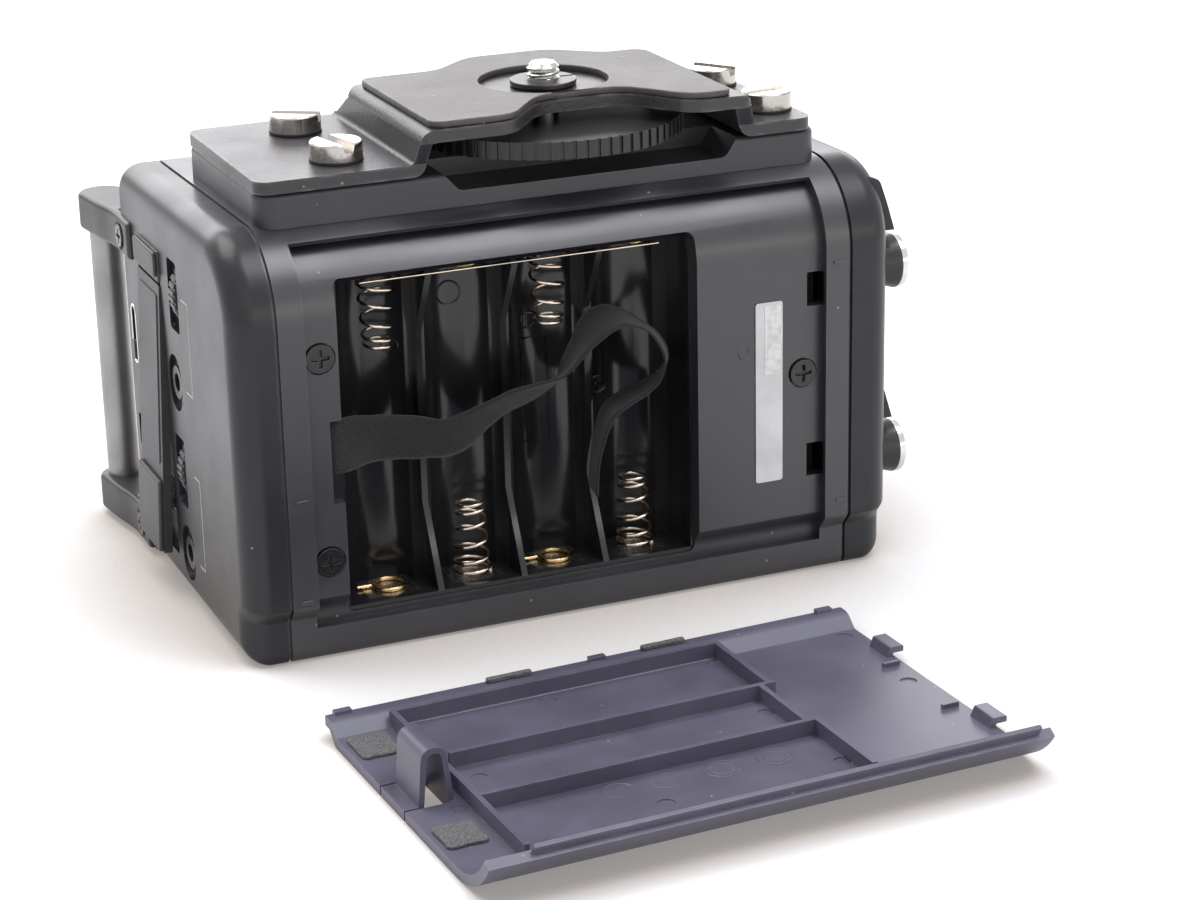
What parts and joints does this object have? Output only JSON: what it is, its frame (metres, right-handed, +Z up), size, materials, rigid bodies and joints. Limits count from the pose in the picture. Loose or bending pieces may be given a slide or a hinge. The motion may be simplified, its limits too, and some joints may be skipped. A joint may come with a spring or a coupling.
{
  "type": "handheld digital recorder",
  "caption": "Box-shaped portable audio recorder with side handles, open battery bay, loose battery cover, camera platform with thumbwheel and tripod thread.",
  "frame": {"origin": "middle of the base, on the axis of the tripod thread, on the surface it stands on", "axes": "+X along the body towards the gain dials, +Y towards the control panel, +Z up; the battery bay faces -Y"},
  "size_m": [0.1431, 0.2038, 0.1016],
  "materials": {
    "black_plastic": "satin black, fine grained",
    "tray_plastic": "gloss black",
    "bush_metal": "plain",
    "contact_nickel": "nickel plate",
    "spring_steel": "bright spring wire",
    "contact_gold": "gold plated wire",
    "ribbon_cloth": "black woven ribbon",
    "black_screws": "black oxide",
    "label_silver": "matt silver plate, bare",
    "block_plastic": "satin black",
    "insert_brass": "plain",
    "plate_metal": "black powder coat",
    "pad_rubber": "black, fine texture",
    "screw_steel": "bright nickel",
    "washer_black": "black",
    "bracket_plastic": "satin black",
    "bar_metal": "dark grey anodised",
    "side_plastic": "satin black",
    "flap_rubber": "black rubber",
    "socket_metal": "plain",
    "circuit_board": "green solder mask",
    "jack_plastic": "black",
    "pot_metal": "plain",
    "panel_plastic": "satin black",
    "display_glass": "clear, smoked",
    "display_screen": "grey green screen",
    "camera_steel": "bright",
    "wheel_rubber": "ribbed black",
    "key_plastic": "dark grey",
    "dial_plastic": "black",
    "rim_metal": "bright ring",
    "cover_plastic": "satin black",
    "pad_felt": "grey foam"
  },
  "bodies": {
    "recorder": {"middle_shell": "black_plastic", "tripod_bush": "bush_metal", "battery_tray": "tray_plastic", "contact_plates": "contact_nickel", "contact_springs": "spring_steel", "contact_rings": "contact_gold", "battery_ribbon": "ribbon_cloth", "rear_screws": "black_screws", "label_plate": "label_silver", "attachment_block": "block_plastic", "mount_inserts": "insert_brass", "mount_plate": "plate_metal", "platform_pad": "pad_rubber", "coin_screws": "screw_steel", "coin_screw_washers": "washer_black", "left_top_bracket": "bracket_plastic", "left_bottom_bracket": "bracket_plastic", "left_handle_bar": "bar_metal", "right_top_bracket": "bracket_plastic", "right_bottom_bracket": "bracket_plastic", "right_handle_bar": "bar_metal", "handle_screws": "black_screws", "left_end_cap": "side_plastic", "flap_anchor": "flap_rubber", "card_slot": "socket_metal", "usb_port": "socket_metal", "port_board": "circuit_board", "stereo_jacks": "jack_plastic", "hold_switch_base": "jack_plastic", "right_end_cap": "side_plastic", "input_board": "circuit_board", "input_sockets": "jack_plastic", "control_panel": "panel_plastic", "display_window": "display_glass", "display_panel": "display_screen", "main_board": "circuit_board", "key_switches": "jack_plastic", "power_switch_base": "jack_plastic", "potentiometers": "pot_metal", "board_screws": "screw_steel"},
    "camera_wheel": {"thumbwheel": "wheel_rubber", "camera_screw": "camera_steel", "retaining_disc": "plate_metal"},
    "phones_volume": {"phones_wheel": "key_plastic"},
    "line_volume": {"line_out_wheel": "key_plastic"},
    "hold_slider": {"hold_switch": "key_plastic"},
    "port_door": {"side_flap": "flap_rubber"},
    "upper_gain": {"upper_gain_dial": "dial_plastic", "upper_dial_rim": "rim_metal"},
    "lower_gain": {"lower_gain_dial": "dial_plastic", "lower_dial_rim": "rim_metal"},
    "left_level": {"left_level_knob": "dial_plastic"},
    "right_level": {"right_level_knob": "dial_plastic"},
    "menu_dial": {"menu_wheel": "dial_plastic"},
    "stop_button": {"stop_key": "key_plastic"},
    "play_button": {"play_key": "key_plastic"},
    "record_button": {"record_key": "key_plastic"},
    "power_slider": {"power_switch": "key_plastic"},
    "loose_cover": {"battery_cover": "cover_plastic", "cover_pads": "pad_felt"}
  },
  "joints": [
    {"name": "camera_wheel_turn", "type": "hinge", "parent": "recorder", "child": "camera_wheel", "pos_m": [0.0076, -0.008, 0.092], "axis": [0, 0, 1], "continuous": true},
    {"name": "phones_wheel_turn", "type": "hinge", "parent": "recorder", "child": "phones_volume", "pos_m": [-0.0583, -0.0013, 0.0631], "axis": [0, 1, 0], "range_deg": [-140, 140]},
    {"name": "line_wheel_turn", "type": "hinge", "parent": "recorder", "child": "line_volume", "pos_m": [-0.0583, 0.0014, 0.0271], "axis": [0, 1, 0], "range_deg": [-140, 140]},
    {"name": "hold_slide", "type": "slide", "parent": "recorder", "child": "hold_slider", "axis": [0, 0, 1], "range_m": [0, 0.0064]},
    {"name": "port_door_hinge", "type": "hinge", "parent": "recorder", "child": "port_door", "pos_m": [-0.0663, 0.016, 0.0626], "axis": [0, 1, 0], "range_deg": [-2.6, 100]},
    {"name": "upper_gain_turn", "type": "hinge", "parent": "recorder", "child": "upper_gain", "pos_m": [0.07, -0.0287, 0.0591], "axis": [1, 0, 0], "range_deg": [-150, 150]},
    {"name": "lower_gain_turn", "type": "hinge", "parent": "recorder", "child": "lower_gain", "pos_m": [0.07, -0.0287, 0.0204], "axis": [1, 0, 0], "range_deg": [-150, 150]},
    {"name": "left_level_turn", "type": "hinge", "parent": "recorder", "child": "left_level", "pos_m": [0.016, 0.046, 0.056], "axis": [0, 1, 0], "range_deg": [-150, 150]},
    {"name": "right_level_turn", "type": "hinge", "parent": "recorder", "child": "right_level", "pos_m": [0.038, 0.046, 0.056], "axis": [0, 1, 0], "range_deg": [-150, 150]},
    {"name": "menu_turn", "type": "hinge", "parent": "recorder", "child": "menu_dial", "pos_m": [0.027, 0.042, 0.028], "axis": [0, 1, 0], "continuous": true},
    {"name": "stop_press", "type": "slide", "parent": "recorder", "child": "stop_button", "axis": [0, -1, 0], "range_m": [0, 0.0012], "stiffness_N_per_m": 300, "springref_m": -0.0003},
    {"name": "play_press", "type": "slide", "parent": "recorder", "child": "play_button", "axis": [0, -1, 0], "range_m": [0, 0.0012], "stiffness_N_per_m": 300, "springref_m": -0.0003},
    {"name": "record_press", "type": "slide", "parent": "recorder", "child": "record_button", "axis": [0, -1, 0], "range_m": [0, 0.0012], "stiffness_N_per_m": 300, "springref_m": -0.0003},
    {"name": "power_slide", "type": "slide", "parent": "recorder", "child": "power_slider", "axis": [0, 0, 1], "range_m": [0, 0.0055]},
    {"name": "cover_lift", "type": "slide", "parent": "recorder", "child": "loose_cover", "axis": [0, 0, 1], "range_m": [0, 0.06]}
  ]
}
